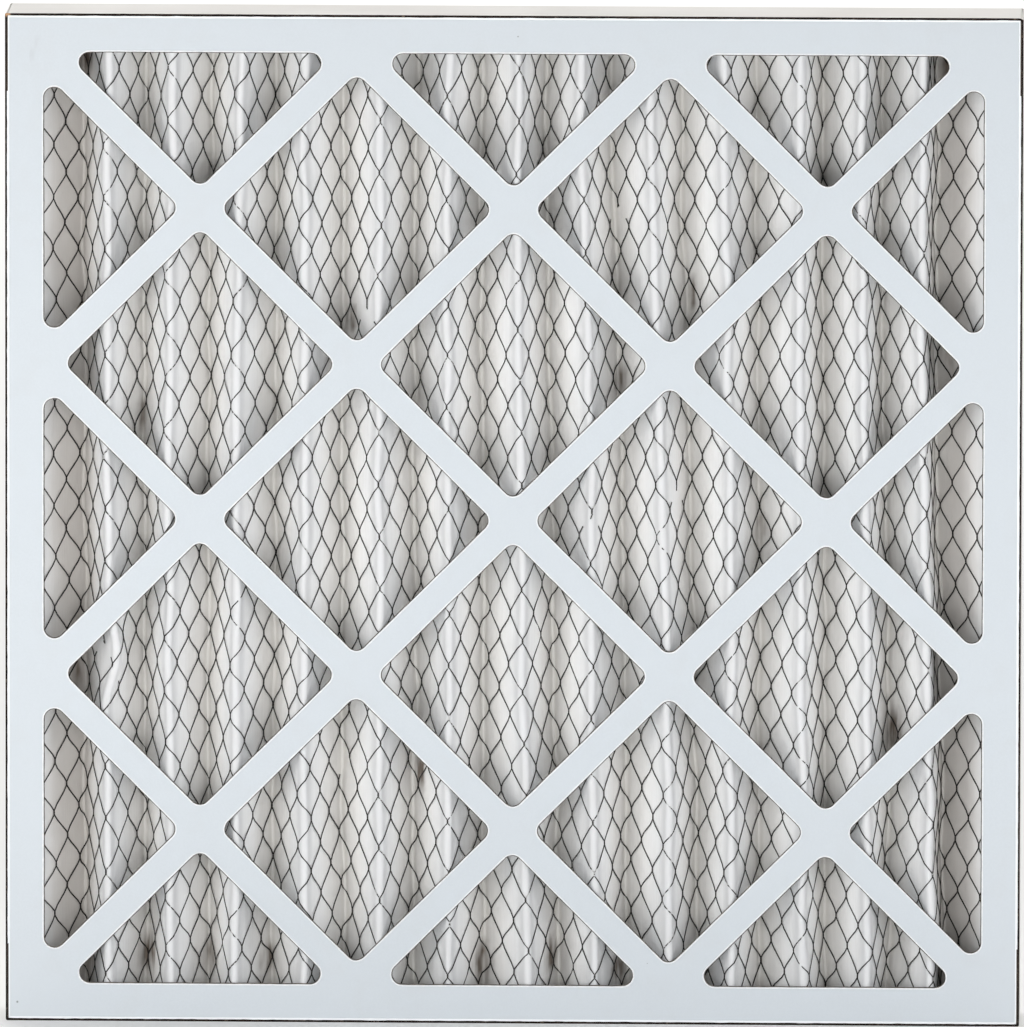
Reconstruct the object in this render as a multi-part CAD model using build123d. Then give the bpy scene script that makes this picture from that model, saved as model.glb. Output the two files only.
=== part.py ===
from build123d import *
import math
import os

# Pleated panel air filter, nominal 20 x 20 x 2 inch.
# +X to the right, +Z up, the air-leaving face towards -Y.
# Origin at the middle of the bottom edge, half way through the depth.

# ---- driving dimensions, millimetres ----
WIDTH = 495.3            # outside width of the frame
HEIGHT = 495.3           # outside height of the frame
DEPTH = 44.45            # outside depth of the frame
BOARD = 0.7              # thickness of the frame board
FIT = 0.05               # slip between the two nested trays
FACE_INSET = 0.15        # front tray's face behind the cut edge of the rear tray's walls
BEND = 1.0               # outer radius of the folds round each lattice face
CORNER_BEND = 1.5        # outer radius where a top or bottom wall turns into its corner flap
CORNER_ROUND = 1.2       # corner radius of each lattice face
FLAP = 38.0              # length of a corner flap
WALL_SHORT = 0.6         # side walls stop this far short of the top and bottom surfaces

STEP = 76.35             # half pitch of the diagonal lattice
OPEN_HALF = 66.6         # half diagonal of a die-cut diamond opening, corners taken sharp
OPEN_R = 5.3             # corner radius of the openings
EDGE_LINE = 3 * STEP     # openings stop at this distance from the centre

MEDIA = 1.5              # thickness of the nonwoven media
FOLD_R = 1.5             # fold radius at the middle of the media
CREST_Y = -20.80         # outer surface of the front crests
REAR_Y = 21.32           # outer surface of the rear crests
MEDIA_MARGIN = 0.8       # media stops this far from the top and bottom walls, at the adhesive
WIRE_GAP = 0.04          # glue film between the media and its wire support
WIRE = 0.36              # thickness of the expanded metal

MESH_LONG = 25.4         # long way of a diamond, crest direction
MESH_HALF = 11.6         # half of the short way, along the folded sheet
STRAND = 0.8             # strand width

# front crests, left to right, measured from the centre plane
CRESTS = [-231.1, -197.4, -166.7, -134.4, -101.3, -66.6, -32.0, 4.1, 38.3,
          71.5, 105.7, 140.8, 172.5, 201.3, 232.5]
LEAN_CENTRE = -20.4      # rear crests lean towards this plane
LEAN = 0.0207            # lean for each millimetre from it
PACK_END = 243.6         # the outermost rear crests, next to the side walls

BEAD = 0.6               # an adhesive bead spreads this far past each side of the media
BEAD_DEEP = MEDIA_MARGIN # thickness of an adhesive bead against the wall
SIDE_BEAD = 4.0          # depth of the adhesive along each side wall

HW = WIDTH / 2
HH = HEIGHT / 2
YF = -DEPTH / 2
YB = DEPTH / 2

os.makedirs("parts", exist_ok=True)


# ---- helpers ----
def block(x0, x1, y0, y1, z0, z1):
    return Box(x1 - x0, y1 - y0, z1 - z0,
               align=(Align.MIN, Align.MIN, Align.MIN)).moved(Location((x0, y0, z0)))


def rounded_polygon(points, radii):
    """Closed wire in the XZ plane through the points, each corner rounded by its radius."""
    n = len(points)
    cut = []
    for i in range(n):
        p = Vector(*points[i])
        a = (Vector(*points[i - 1]) - p).normalized()
        b = (Vector(*points[(i + 1) % n]) - p).normalized()
        half = math.radians(a.get_angle(b)) / 2
        r = radii[i]
        t = r / math.tan(half)
        bis = (a + b).normalized()
        centre = p + bis * (r / math.sin(half))
        cut.append((p + a * t, centre - bis * r, p + b * t))
    edges = []
    for i in range(n):
        s, m, e = cut[i]
        edges.append(Edge.make_three_point_arc(s, m, e))
        nxt = cut[(i + 1) % n][0]
        if (nxt - e).length > 1e-6:
            edges.append(Edge.make_line(e, nxt))
    return Wire(edges)


def opening_outlines(y):
    """Outlines of the diamond and triangular openings of a lattice, at depth y."""
    s = OPEN_HALF
    out = []
    for i in range(-3, 4):
        for j in range(-3, 4):
            if (i + j) % 2 == 0:
                continue
            cx, cz = i * STEP, HH + j * STEP
            right, top = (cx + s, y, cz), (cx, y, cz + s)
            left, bottom = (cx - s, y, cz), (cx, y, cz - s)
            if i == -3:
                pts = [right, top, bottom]
            elif i == 3:
                pts = [left, bottom, top]
            elif j == -3:
                pts = [top, left, right]
            elif j == 3:
                pts = [bottom, right, left]
            else:
                pts = [right, top, left, bottom]
            out.append(rounded_polygon(pts, [OPEN_R] * len(pts)))
    return out


def tray(hw, hh, face_y, edge_y):
    """One folded sheet: a lattice face at face_y, four walls that run to edge_y, and a
    corner flap at each end of the top and bottom walls, glued inside the side walls."""
    s = 1 if edge_y > face_y else -1
    y0, y1 = min(face_y, edge_y), max(face_y, edge_y)
    z0, z1 = HH - hh, HH + hh
    fx = hw - BOARD                      # outside of the corner flaps
    body = block(-hw, hw, *sorted((face_y, face_y + s * BOARD)), z0, z1)
    for sx in (-1, 1):
        xs = sorted((sx * hw, sx * (hw - BOARD)))
        body += block(*xs, y0, y1, z0 + WALL_SHORT, z1 - WALL_SHORT)
    for up in (-1, 1):
        band = block(-fx, fx, y0, y1, *sorted((HH + up * hh, HH + up * (hh - FLAP))))
        corners = [e for e in band.edges().filter_by(Axis.Y)
                   if abs(e.center().Z - (HH + up * hh)) < 1e-3]
        band = fillet(corners, CORNER_BEND)
        hollow = block(-fx + BOARD, fx - BOARD, y0 - 1, y1 + 1,
                       *sorted((HH + up * (hh - BOARD), HH + up * (hh - FLAP - 1))))
        corners = [e for e in hollow.edges().filter_by(Axis.Y)
                   if abs(e.center().Z - (HH + up * (hh - BOARD))) < 1e-3]
        hollow = fillet(corners, CORNER_BEND - BOARD)
        body += band - hollow
    # rounded folds round the face
    env = block(-hw, hw, y0, y1, z0, z1)
    env = fillet(env.edges().filter_by(Axis.Y), CORNER_ROUND)
    rim = [e for e in env.edges() if abs(e.center().Y - face_y) < 1e-3]
    env = fillet(rim, BEND)
    body = body & env
    # die-cut openings
    start = face_y - s * 1.0
    for w in opening_outlines(start):
        body -= Solid.extrude(Face(w), Vector(0, s * (BOARD + 2.0), 0))
    return body.solid() if hasattr(body, "solid") else body


# ---- course of the pleats, seen along Z ----
crest_cy = CREST_Y + FOLD_R + MEDIA / 2       # centres of the front fold arcs
rear_cy = REAR_Y - FOLD_R - MEDIA / 2         # centres of the rear fold arcs
rears = [-PACK_END]
for a, b in zip(CRESTS, CRESTS[1:]):
    mid = (a + b) / 2
    rears.append(mid + LEAN * (LEAN_CENTRE - mid))
rears.append(PACK_END)
CIRCLES = []                                   # x, y, +1 at a front crest and -1 at a rear one
for k, x in enumerate(rears):
    CIRCLES.append((x, rear_cy, -1))
    if k < len(CRESTS):
        CIRCLES.append((CRESTS[k], crest_cy, 1))


def leg_normal(a, b):
    """Unit vector from the centre of fold a to the point where the leg to fold b leaves it."""
    dx, dy = b[0] - a[0], b[1] - a[1]
    d = math.hypot(dx, dy)
    run = math.sqrt(d * d - 4 * FOLD_R * FOLD_R)
    ux, uy = dx / d, dy / d
    px, py = (uy, -ux) if a[2] > 0 else (-uy, ux)
    return (2 * FOLD_R / d * ux + run / d * px, 2 * FOLD_R / d * uy + run / d * py)


NORMALS = [leg_normal(a, b) for a, b in zip(CIRCLES, CIRCLES[1:])]


def fold_points(off):
    """For each fold, the start, middle and end of its arc on the surface that lies off
    millimetres in front of the middle of the media."""
    out = []
    for k, (cx, cy, s) in enumerate(CIRCLES):
        r = FOLD_R + off * s
        mid = (cx, cy - s * r)
        a = mid if k == 0 else (cx - r * NORMALS[k - 1][0], cy - r * NORMALS[k - 1][1])
        b = mid if k == len(CIRCLES) - 1 else (cx + r * NORMALS[k][0], cy + r * NORMALS[k][1])
        out.append((a, mid, b))
    return out


def mid_arc(cx, cy, r, a, b, s):
    """Point half way along the arc from a to b."""
    mx, my = (a[0] + b[0]) / 2 - cx, (a[1] + b[1]) / 2 - cy
    n = math.hypot(mx, my)
    return (cx + r * mx / n, cy + r * my / n)


def boundary(off, z, reverse=False):
    """Edges of the pleated surface at offset off, in the plane of height z."""
    pts = fold_points(off)
    edges = []
    last = None
    for (cx, cy, s), (a, m, b) in zip(CIRCLES, pts):
        if last is not None:
            edges.append(Edge.make_line(Vector(*last, z), Vector(*a, z)))
        r = FOLD_R + off * s
        h = mid_arc(cx, cy, r, a, b, s)
        edges.append(Edge.make_three_point_arc(Vector(*a, z), Vector(*h, z), Vector(*b, z)))
        last = b
    return edges, pts[0][0], pts[-1][2]


def pleated_slab(off_front, off_back, z0, z1):
    """Solid between two offsets of the pleated surface, from height z0 to z1."""
    f, f0, f1 = boundary(off_front, z0)
    g, g0, g1 = boundary(off_back, z0)
    ends = [Edge.make_line(Vector(*f0, z0), Vector(*g0, z0)),
            Edge.make_line(Vector(*f1, z0), Vector(*g1, z0))]
    return Solid.extrude(Face(Wire(f + g + ends)), Vector(0, 0, z1 - z0))


# ---- frame ----
front_tray = tray(HW - 2 * BOARD - FIT, HH - BOARD - FIT, YF + FACE_INSET, YB - BOARD - 0.1)
rear_tray = tray(HW, HH, YB, YF)

# ---- media ----
wall_in = HH - 2 * BOARD - FIT           # inside of the front tray's top and bottom walls
z_lo, z_hi = HH - wall_in + MEDIA_MARGIN, HH + wall_in - MEDIA_MARGIN
media = pleated_slab(MEDIA / 2, -MEDIA / 2, z_lo, z_hi)

# ---- expanded metal support, bonded to the front of the media ----
# Its section is a polygon: one flat facet on each crest and one in each valley.
W_IN = MEDIA / 2 + WIRE_GAP
W_OUT = W_IN + WIRE


def line_hit(p, d, y):
    t = (y - p[1]) / d[1]
    return (p[0] + t * d[0], y)


def facet_polyline(off):
    """Corners of the support's surface at offset off in front of the media's middle."""
    legs = []
    for k, n in enumerate(NORMALS):
        cx, cy, s = CIRCLES[k]
        r = FOLD_R + off * s
        p = (cx + r * n[0], cy + r * n[1])
        cx2, cy2, s2 = CIRCLES[k + 1]
        r2 = FOLD_R + off * s2
        q = (cx2 - r2 * n[0], cy2 - r2 * n[1])
        d = math.hypot(q[0] - p[0], q[1] - p[1])
        legs.append((p, ((q[0] - p[0]) / d, (q[1] - p[1]) / d)))
    pts = []
    for k, (cx, cy, s) in enumerate(CIRCLES):
        if s > 0:
            y = cy - (FOLD_R + off)
        else:
            y = cy + 0.3 - (off - W_IN)
        if k > 0:
            pts.append(line_hit(*legs[k - 1], y))
        if k < len(legs):
            pts.append(line_hit(*legs[k], y))
    return pts


wire_front = facet_polyline(W_OUT)
wire_back = facet_polyline(W_IN)
wire_mid = facet_polyline((W_IN + W_OUT) / 2)
arc = [0.0]
for a, b in zip(wire_mid, wire_mid[1:]):
    arc.append(arc[-1] + math.hypot(b[0] - a[0], b[1] - a[1]))


def x_at(s):
    """Where the point at distance s along the folded sheet lies across the filter."""
    for i in range(len(arc) - 1):
        if s <= arc[i + 1] + 1e-9:
            t = (s - arc[i]) / (arc[i + 1] - arc[i])
            return wire_mid[i][0] + t * (wire_mid[i + 1][0] - wire_mid[i][0])
    return wire_mid[-1][0]


cols = int((arc[-1] - 2.0) / MESH_HALF)
cols -= cols % 2
half = (arc[-1] - 2.0) / cols             # half short way, fitted to the sheet
rows = int((2 * wall_in - 2 * MEDIA_MARGIN - 2.0) / MESH_LONG)
mz0 = HH - rows * MESH_LONG / 2
mz1 = HH + rows * MESH_LONG / 2
slope = math.hypot(half, MESH_LONG / 2)
dz = MESH_LONG / 2 - STRAND / 2 * slope / half            # half height of a hole
ds = half - STRAND / 2 * slope / (MESH_LONG / 2)          # half width of a hole


def hole(c, z):
    s = 1.0 + c * half
    return [(x_at(s + ds), z), (x_at(s), z + dz), (x_at(s - ds), z), (x_at(s), z - dz)]


holes = []
for c in range(1, cols):
    if c % 2 == 0:
        zs = [mz0 + (r + 0.5) * MESH_LONG for r in range(rows)]
    else:
        zs = [mz0 + r * MESH_LONG for r in range(1, rows)]
    holes += [hole(c, z) for z in zs]

# outline of the sheet, cut through the middle of its outer diamonds
outline = []
for c in range(0, cols + 1):
    if c % 2 == 0:
        outline.append((x_at(1.0 + c * half), mz0))
    else:
        h = hole(c, mz0)
        outline += [h[2], h[1], h[0]]
for r in range(rows):
    z = mz0 + (r + 0.5) * MESH_LONG
    h = hole(cols, z)
    outline += [h[3], h[2], h[1]]
for c in range(cols, -1, -1):
    if c % 2 == 0:
        outline.append((x_at(1.0 + c * half), mz1))
    else:
        h = hole(c, mz1)
        outline += [h[0], h[3], h[2]]
for r in range(rows - 1, -1, -1):
    z = mz0 + (r + 0.5) * MESH_LONG
    h = hole(0, z)
    outline += [h[1], h[0], h[3]]

y_start = CREST_Y - 5
sheet = Face(Wire.make_polygon([Vector(x, y_start, z) for x, z in outline], close=True),
             [Wire.make_polygon([Vector(x, y_start, z) for x, z in p], close=True) for p in holes])
punched = Solid.extrude(sheet, Vector(0, DEPTH + 10, 0))
foil = Solid.extrude(
    Face(Wire.make_polygon([Vector(x, y, mz0 - 1) for x, y in wire_front + wire_back[::-1]], close=True)),
    Vector(0, 0, mz1 - mz0 + 2))
wire_support = foil & punched

# ---- adhesive that seals the pack into the front tray ----
top_in = HH + wall_in
bot_in = HH - wall_in
bead_bottom = pleated_slab(MEDIA / 2 + BEAD, -MEDIA / 2 - BEAD, bot_in, bot_in + BEAD_DEEP)
bead_top = pleated_slab(MEDIA / 2 + BEAD, -MEDIA / 2 - BEAD, top_in - BEAD_DEEP, top_in)
between = block(-HW, HW, YF + FACE_INSET + BOARD + 0.02, YB - BOARD - 0.12, 0, HEIGHT)
bead_bottom = bead_bottom & between       # kept between the two lattice faces
bead_top = bead_top & between
side_in = HW - 3 * BOARD - FIT            # inside of the front tray's side walls


def side_bead(sx):
    """Bead between the pack's last fold and a side wall; it steps over the corner flaps."""
    y0, y1 = REAR_Y - SIDE_BEAD, REAR_Y
    flap_z = FLAP + BOARD + FIT + 0.02
    xs = sorted((sx * PACK_END, sx * side_in))
    xf = sorted((sx * PACK_END, sx * (side_in - BOARD)))
    tall = block(*xf, y0, y1, z_lo, z_hi)
    return tall + block(*xs, y0, y1, flap_z, HEIGHT - flap_z)


bead_left = side_bead(-1)
bead_right = side_bead(1)

parts = {
    "front_lattice_tray": front_tray,
    "rear_lattice_tray": rear_tray,
    "pleated_media": media,
    "wire_support": wire_support,
    "adhesive_bead_top": bead_top,
    "adhesive_bead_bottom": bead_bottom,
    "adhesive_bead_left": bead_left,
    "adhesive_bead_right": bead_right,
}

for name, shape in parts.items():
    solids = shape.solids()
    print(name, len(solids), "solid(s)", len(shape.faces()), "faces",
          round(sum(s.volume for s in solids) / 1000, 1), "cm3",
          "valid" if all(s.is_valid for s in solids) else "NOT VALID")
    body = solids[0] if len(solids) == 1 else Compound(children=list(solids))
    export_step(body, os.path.join("parts", name + ".step"), write_pcurves=False)
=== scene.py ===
import math

import bpy
import numpy as np
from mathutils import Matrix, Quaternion, Vector


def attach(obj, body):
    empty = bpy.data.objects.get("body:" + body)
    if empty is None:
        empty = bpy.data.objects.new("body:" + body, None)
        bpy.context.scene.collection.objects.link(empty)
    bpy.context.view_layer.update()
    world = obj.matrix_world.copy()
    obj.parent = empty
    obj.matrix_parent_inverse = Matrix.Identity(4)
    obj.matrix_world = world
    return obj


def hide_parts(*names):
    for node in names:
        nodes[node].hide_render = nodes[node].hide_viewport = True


MM = 0.001
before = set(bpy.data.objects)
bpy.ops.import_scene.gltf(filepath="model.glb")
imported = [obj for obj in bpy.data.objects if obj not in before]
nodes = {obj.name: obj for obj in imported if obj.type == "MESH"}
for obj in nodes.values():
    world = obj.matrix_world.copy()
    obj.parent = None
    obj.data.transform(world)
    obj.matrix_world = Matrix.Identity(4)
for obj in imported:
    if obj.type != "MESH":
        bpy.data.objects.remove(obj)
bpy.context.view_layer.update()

W = H = 495.3
HW, HH = W / 2, H / 2
YF, YB = -22.225, 22.225
BOARD = 0.7
STEP, OPEN_HALF, OPEN_R = 76.35, 66.6, 5.3
AZ, EL = 1.7, 7.5                      # the photograph's viewing angle, degrees


# ------------------------------------------------------------------ small helpers
def rng(seed):
    return np.random.default_rng(seed)


def waves(seed, n, lo, hi):
    """A smooth seeded noise of one variable: wavelengths between lo and hi, amplitude about 1."""
    r = rng(seed)
    lam = np.exp(r.uniform(math.log(lo), math.log(hi), n))
    ph = r.uniform(0, 2 * math.pi, n)
    am = r.uniform(0.5, 1.0, n)
    am /= math.sqrt((am ** 2).sum() / 2) * 1.3

    def f(x):
        x = np.asarray(x, float)
        return sum(a * np.sin(2 * math.pi * x / l + p) for a, l, p in zip(am, lam, ph))
    return f


def waves2(seed, n, lx, lz):
    """A smooth seeded noise of two variables, with its own wavelength range for each."""
    r = rng(seed)
    kx = 2 * math.pi / np.exp(r.uniform(math.log(lx[0]), math.log(lx[1]), n)) * r.choice([-1, 1], n)
    kz = 2 * math.pi / np.exp(r.uniform(math.log(lz[0]), math.log(lz[1]), n))
    ph = r.uniform(0, 2 * math.pi, n)
    am = r.uniform(0.5, 1.0, n)
    am /= math.sqrt((am ** 2).sum() / 2) * 1.3

    def f(x, z):
        out = 0.0
        for a, p, q, h in zip(am, kx, kz, ph):
            out = out + a * np.sin(p * x + q * z + h)
        return out
    return f


def smooth(t):
    t = np.clip(t, 0, 1)
    return t * t * (3 - 2 * t)


def mesh_object(name, verts, faces, attrs=None, smooth_shade=True):
    me = bpy.data.meshes.new(name)
    me.from_pydata([tuple(v) for v in np.asarray(verts) * MM], [], faces)
    me.validate(clean_customdata=False)
    for key, val in (attrs or {}).items():
        a = me.attributes.new(key, "FLOAT", "POINT")
        a.data.foreach_set("value", np.asarray(val, np.float32))
    if smooth_shade:
        me.polygons.foreach_set("use_smooth", [True] * len(me.polygons))
    me.update()
    ob = bpy.data.objects.new(name, me)
    bpy.context.scene.collection.objects.link(ob)
    return ob


# ------------------------------------------------------------------ material helpers
class Mat:
    def __init__(self, name):
        self.mat = bpy.data.materials.new(name)
        self.mat.use_nodes = True
        self.nt = self.mat.node_tree
        self.nt.nodes.clear()
        self.out = self.node("ShaderNodeOutputMaterial")
        self.bsdf = self.node("ShaderNodeBsdfPrincipled")
        self.link(self.bsdf.outputs["BSDF"], self.out.inputs["Surface"])
        self.tc = self.node("ShaderNodeTexCoord")

    def node(self, kind, **props):
        n = self.nt.nodes.new(kind)
        for k, v in props.items():
            setattr(n, k, v)
        return n

    def link(self, a, b):
        self.nt.links.new(a, b)

    def val(self, sock, v):
        if hasattr(v, "is_output"):
            self.link(v, sock)
        else:
            sock.default_value = v

    def mapping(self, scale=(1, 1, 1), loc=(0, 0, 0), src=None):
        m = self.node("ShaderNodeMapping")
        m.inputs["Scale"].default_value = scale
        m.inputs["Location"].default_value = loc
        self.link(src or self.tc.outputs["Object"], m.inputs["Vector"])
        return m.outputs["Vector"]

    def noise(self, vec, scale, detail=2.0, rough=0.5, dist=0.0):
        n = self.node("ShaderNodeTexNoise")
        self.link(vec, n.inputs["Vector"])
        n.inputs["Scale"].default_value = scale
        n.inputs["Detail"].default_value = detail
        n.inputs["Roughness"].default_value = rough
        n.inputs["Distortion"].default_value = dist
        return n.outputs["Fac"]

    def math(self, op, a, b=None, c=None, clamp=False):
        n = self.node("ShaderNodeMath", operation=op, use_clamp=clamp)
        self.val(n.inputs[0], a)
        if b is not None:
            self.val(n.inputs[1], b)
        if c is not None:
            self.val(n.inputs[2], c)
        return n.outputs[0]

    def vmath(self, op, a, b=None):
        n = self.node("ShaderNodeVectorMath", operation=op)
        self.val(n.inputs[0], a)
        if b is not None:
            self.val(n.inputs[1], b)
        return n.outputs["Value"] if op in ("LENGTH", "DISTANCE", "DOT_PRODUCT") else n.outputs["Vector"]

    def ramp(self, fac, lo, hi, out0=0.0, out1=1.0, kind="SMOOTHSTEP"):
        n = self.node("ShaderNodeMapRange", interpolation_type=kind)
        self.val(n.inputs["Value"], fac)
        n.inputs["From Min"].default_value = lo
        n.inputs["From Max"].default_value = hi
        n.inputs["To Min"].default_value = out0
        n.inputs["To Max"].default_value = out1
        return n.outputs["Result"]

    def mix(self, fac, a, b, kind="MIX"):
        n = self.node("ShaderNodeMix", data_type="RGBA", blend_type=kind)
        self.val(n.inputs["Factor"], fac)
        for sock, v in ((n.inputs[6], a), (n.inputs[7], b)):
            if hasattr(v, "is_output"):
                self.link(v, sock)
            else:
                sock.default_value = (*v, 1.0) if len(v) == 3 else v
        return n.outputs[2]

    def attr(self, name):
        n = self.node("ShaderNodeAttribute", attribute_name=name)
        return n.outputs["Fac"]

    def xyz(self, vec):
        n = self.node("ShaderNodeSeparateXYZ")
        self.link(vec, n.inputs[0])
        return n.outputs[0], n.outputs[1], n.outputs[2]

    def bump(self, height, distance, strength=1.0):
        n = self.node("ShaderNodeBump")
        n.inputs["Strength"].default_value = strength
        n.inputs["Distance"].default_value = distance
        self.link(height, n.inputs["Height"])
        self.link(n.outputs["Normal"], self.bsdf.inputs["Normal"])

    def set(self, **kw):
        names = {"color": "Base Color", "rough": "Roughness", "metal": "Metallic", "ior": "IOR",
                 "spec": "Specular IOR Level", "sheen": "Sheen Weight", "sheen_rough": "Sheen Roughness",
                 "sss": "Subsurface Weight"}
        for k, v in kw.items():
            s = self.bsdf.inputs[names[k]]
            if k == "color" and not hasattr(v, "is_output"):
                v = (*v, 1.0)
            self.val(s, v)


# ------------------------------------------------------------------ course of the pleats
CRESTS = np.array([-236.3, -197.4, -166.7, -134.4, -101.3, -66.6, -32.0, 4.1, 38.3,
                   71.5, 105.7, 140.8, 172.5, 201.3, 235.8])
# how far each crest strays to the side at four heights, millimetres, top to bottom
STRAY_Z = np.array([49.4, 175.9, 328.5, 445.2])
STRAY = np.array([
    [0.0, 0.0, 0.0, 0.0],
    [0.3, -0.1, -0.2, 0.2],
    [-2.1, -1.6, 0.3, 0.8],
    [-2.2, -1.2, -0.2, 1.2],
    [-1.6, -1.1, 0.8, 0.8],
    [0.3, -0.7, -0.2, 1.2],
    [0.1, 0.4, -0.2, 0.4],
    [2.6, -0.6, -0.7, -0.2],
    [0.6, 0.6, -0.8, -3.2],
    [4.0, 2.3, -0.4, -4.2],
    [0.9, 0.4, -1.2, -2.8],
    [0.2, -0.2, -0.2, 0.4],
    [0.6, 0.1, -0.6, -1.2],
    [2.1, 1.2, -0.8, -0.2],
    [0.8, 0.4, -0.2, -0.4]])
# further sideways stray of each of the 31 folds at five heights, millimetres, bottom to top
FIX_Z = np.array([67.0, 161.0, 247.0, 333.0, 431.0])
FIX = np.array([
    [0.0, 0.0, 0.0, 0.0, 0.0],
    [0.0, 0.0, 0.1, 0.2, -0.6],
    [0.0, 0.2, 0.4, 0.2, -0.6],
    [-0.5, -0.4, 0.1, -0.5, -0.2],
    [-0.1, -1.0, -1.1, -2.4, -1.4],
    [1.8, 0.9, -0.6, -1.3, -0.2],
    [1.1, 0.0, -0.5, -1.6, -0.6],
    [1.0, 0.8, 0.0, 0.0, 0.5],
    [-0.2, 0.1, 0.1, -0.4, -1.1],
    [1.2, 0.2, 0.2, -1.0, -1.3],
    [0.3, -0.3, -0.4, -1.2, -1.0],
    [1.2, 2.3, 1.8, 1.0, 0.4],
    [-0.1, 1.3, 1.0, -0.1, 0.7],
    [0.7, 0.2, 0.6, -0.4, -0.2],
    [-1.4, -0.3, 0.1, -1.2, -1.9],
    [0.4, 1.2, 0.8, -1.1, -1.8],
    [0.7, -0.5, -0.3, -2.3, -2.8],
    [1.3, -0.9, 0.3, -1.1, -2.6],
    [0.4, 0.1, -0.5, -1.1, -2.1],
    [1.1, 1.4, 0.4, -1.0, -1.0],
    [1.8, 0.8, 0.4, -0.9, -1.1],
    [0.3, -0.1, 0.9, -0.0, -0.8],
    [0.0, 0.2, 0.5, 0.0, -0.9],
    [0.8, 0.2, -0.5, -1.3, -1.9],
    [-0.2, -0.2, -0.3, -1.2, -1.8],
    [0.1, 0.1, -0.2, -1.8, -2.1],
    [0.3, 0.7, -0.1, -1.7, -1.9],
    [0.8, -0.3, -0.9, -2.0, -1.9],
    [0.5, -0.4, -1.8, -2.5, -1.9],
    [0.0, 0.0, -0.7, -2.1, -0.7],
    [0.0, 0.0, 0.0, 0.0, 0.0]])
R = 1.5
CREST_CY, REAR_CY = -18.55, 19.07
LEAN_CENTRE, LEAN = -20.4, 0.0207
PACK_END = 243.6
Z_LO, Z_HI = 2.25, 493.05
SHEAR = math.tan(math.radians(AZ))
S = np.array([-1 if i % 2 == 0 else 1 for i in range(31)], float)

_stray_noise = [waves(100 + k, 5, 45, 160) for k in range(15)]
_depth_noise = [waves(200 + k, 4, 60, 220) for k in range(31)]


def crest_x(z):
    z = np.asarray(z, float)
    out = np.empty((len(z), 15))
    for k in range(15):
        # gentle curve through the four strays, levelled off at the ends
        zz = np.concatenate([[STRAY_Z[0] - 90], STRAY_Z, [STRAY_Z[-1] + 90]])
        vv = np.concatenate([[STRAY[k, 0]], STRAY[k], [STRAY[k, 3]]])
        i = np.clip(np.searchsorted(zz, z) - 1, 0, len(zz) - 2)
        t = (z - zz[i]) / (zz[i + 1] - zz[i])
        out[:, k] = CRESTS[k] + vv[i] + (vv[i + 1] - vv[i]) * (0.5 * t + 0.5 * smooth(t)) + 0.45 * _stray_noise[k](z)
    out = np.clip(out, -237.0, 237.0)
    return out


def fold_centres(z):
    z = np.asarray(z, float)
    cr = crest_x(z)
    cx = np.empty((len(z), 31))
    cx[:, 1::2] = cr
    mid = (cr[:, 1:] + cr[:, :-1]) / 2
    cx[:, 2:-1:2] = mid + LEAN * (LEAN_CENTRE - mid)
    for k in range(1, 15):
        cx[:, 2 * k] += 0.5 * _stray_noise[k](z + 170)
    cx[:, 2] += 3.0
    cx[:, 28] -= 4.2
    for i in range(1, 30):
        cx[:, i] += np.interp(z, FIX_Z, FIX[i])
    cx[:, 1] = np.maximum(cx[:, 1], -237.0)
    cx[:, 29] = np.minimum(cx[:, 29], 237.0)
    cx[:, 0], cx[:, 30] = -PACK_END, PACK_END
    cy = np.empty_like(cx)
    for i in range(31):
        n = 0.5 * (1 + _depth_noise[i](z))
        cy[:, i] = CREST_CY + 0.25 * np.clip(n, 0, 1.6) if S[i] > 0 else REAR_CY - 0.35 * np.clip(n, 0, 1.6)
    return cx, cy


def leg_normals(cx, cy):
    dx, dy = cx[:, 1:] - cx[:, :-1], cy[:, 1:] - cy[:, :-1]
    d = np.hypot(dx, dy)
    run = np.sqrt(d * d - 4 * R * R)
    ux, uy = dx / d, dy / d
    s = S[:-1][None, :]
    px, py = uy * s, -ux * s
    return 2 * R / d * ux + run / d * px, 2 * R / d * uy + run / d * py


def sections(z, off, n_arc, n_leg):
    """Points across the filter on the pleated surface at offset off in front of the media's middle.
    Returns x, y and the surface's front normal, each (len(z), columns), and a list of (fold, kind)."""
    cx, cy = fold_centres(z)
    nx, ny = leg_normals(cx, cy)
    X, Y, NX, NY, tag = [], [], [], [], []
    for i in range(31):
        s = S[i]
        r = R + off * s
        mid = math.atan2(-s, 0.0)
        th0 = np.arctan2(-ny[:, i - 1], -nx[:, i - 1]) if i > 0 else np.full(len(z), mid)
        th1 = np.arctan2(ny[:, i], nx[:, i]) if i < 30 else np.full(len(z), mid)
        d0 = (th0 - mid + math.pi) % (2 * math.pi) - math.pi
        d1 = (th1 - mid + math.pi) % (2 * math.pi) - math.pi
        for j in range(n_arc):
            t = j / (n_arc - 1)
            th = mid + d0 * (1 - t) + d1 * t
            X.append(cx[:, i] + r * np.cos(th))
            Y.append(cy[:, i] + r * np.sin(th))
            NX.append(s * np.cos(th))
            NY.append(s * np.sin(th))
            tag.append((i, t))
        if i < 30:
            r2 = R + off * S[i + 1]
            ax, ay = cx[:, i] + r * nx[:, i], cy[:, i] + r * ny[:, i]
            bx, by = cx[:, i + 1] - r2 * nx[:, i], cy[:, i + 1] - r2 * ny[:, i]
            for j in range(1, n_leg + 1):
                t = j / (n_leg + 1)
                X.append(ax + (bx - ax) * t)
                Y.append(ay + (by - ay) * t)
                NX.append(s * nx[:, i])
                NY.append(s * ny[:, i])
                tag.append((i + t, -1.0))
    return np.array(X).T, np.array(Y).T, np.array(NX).T, np.array(NY).T, tag


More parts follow.
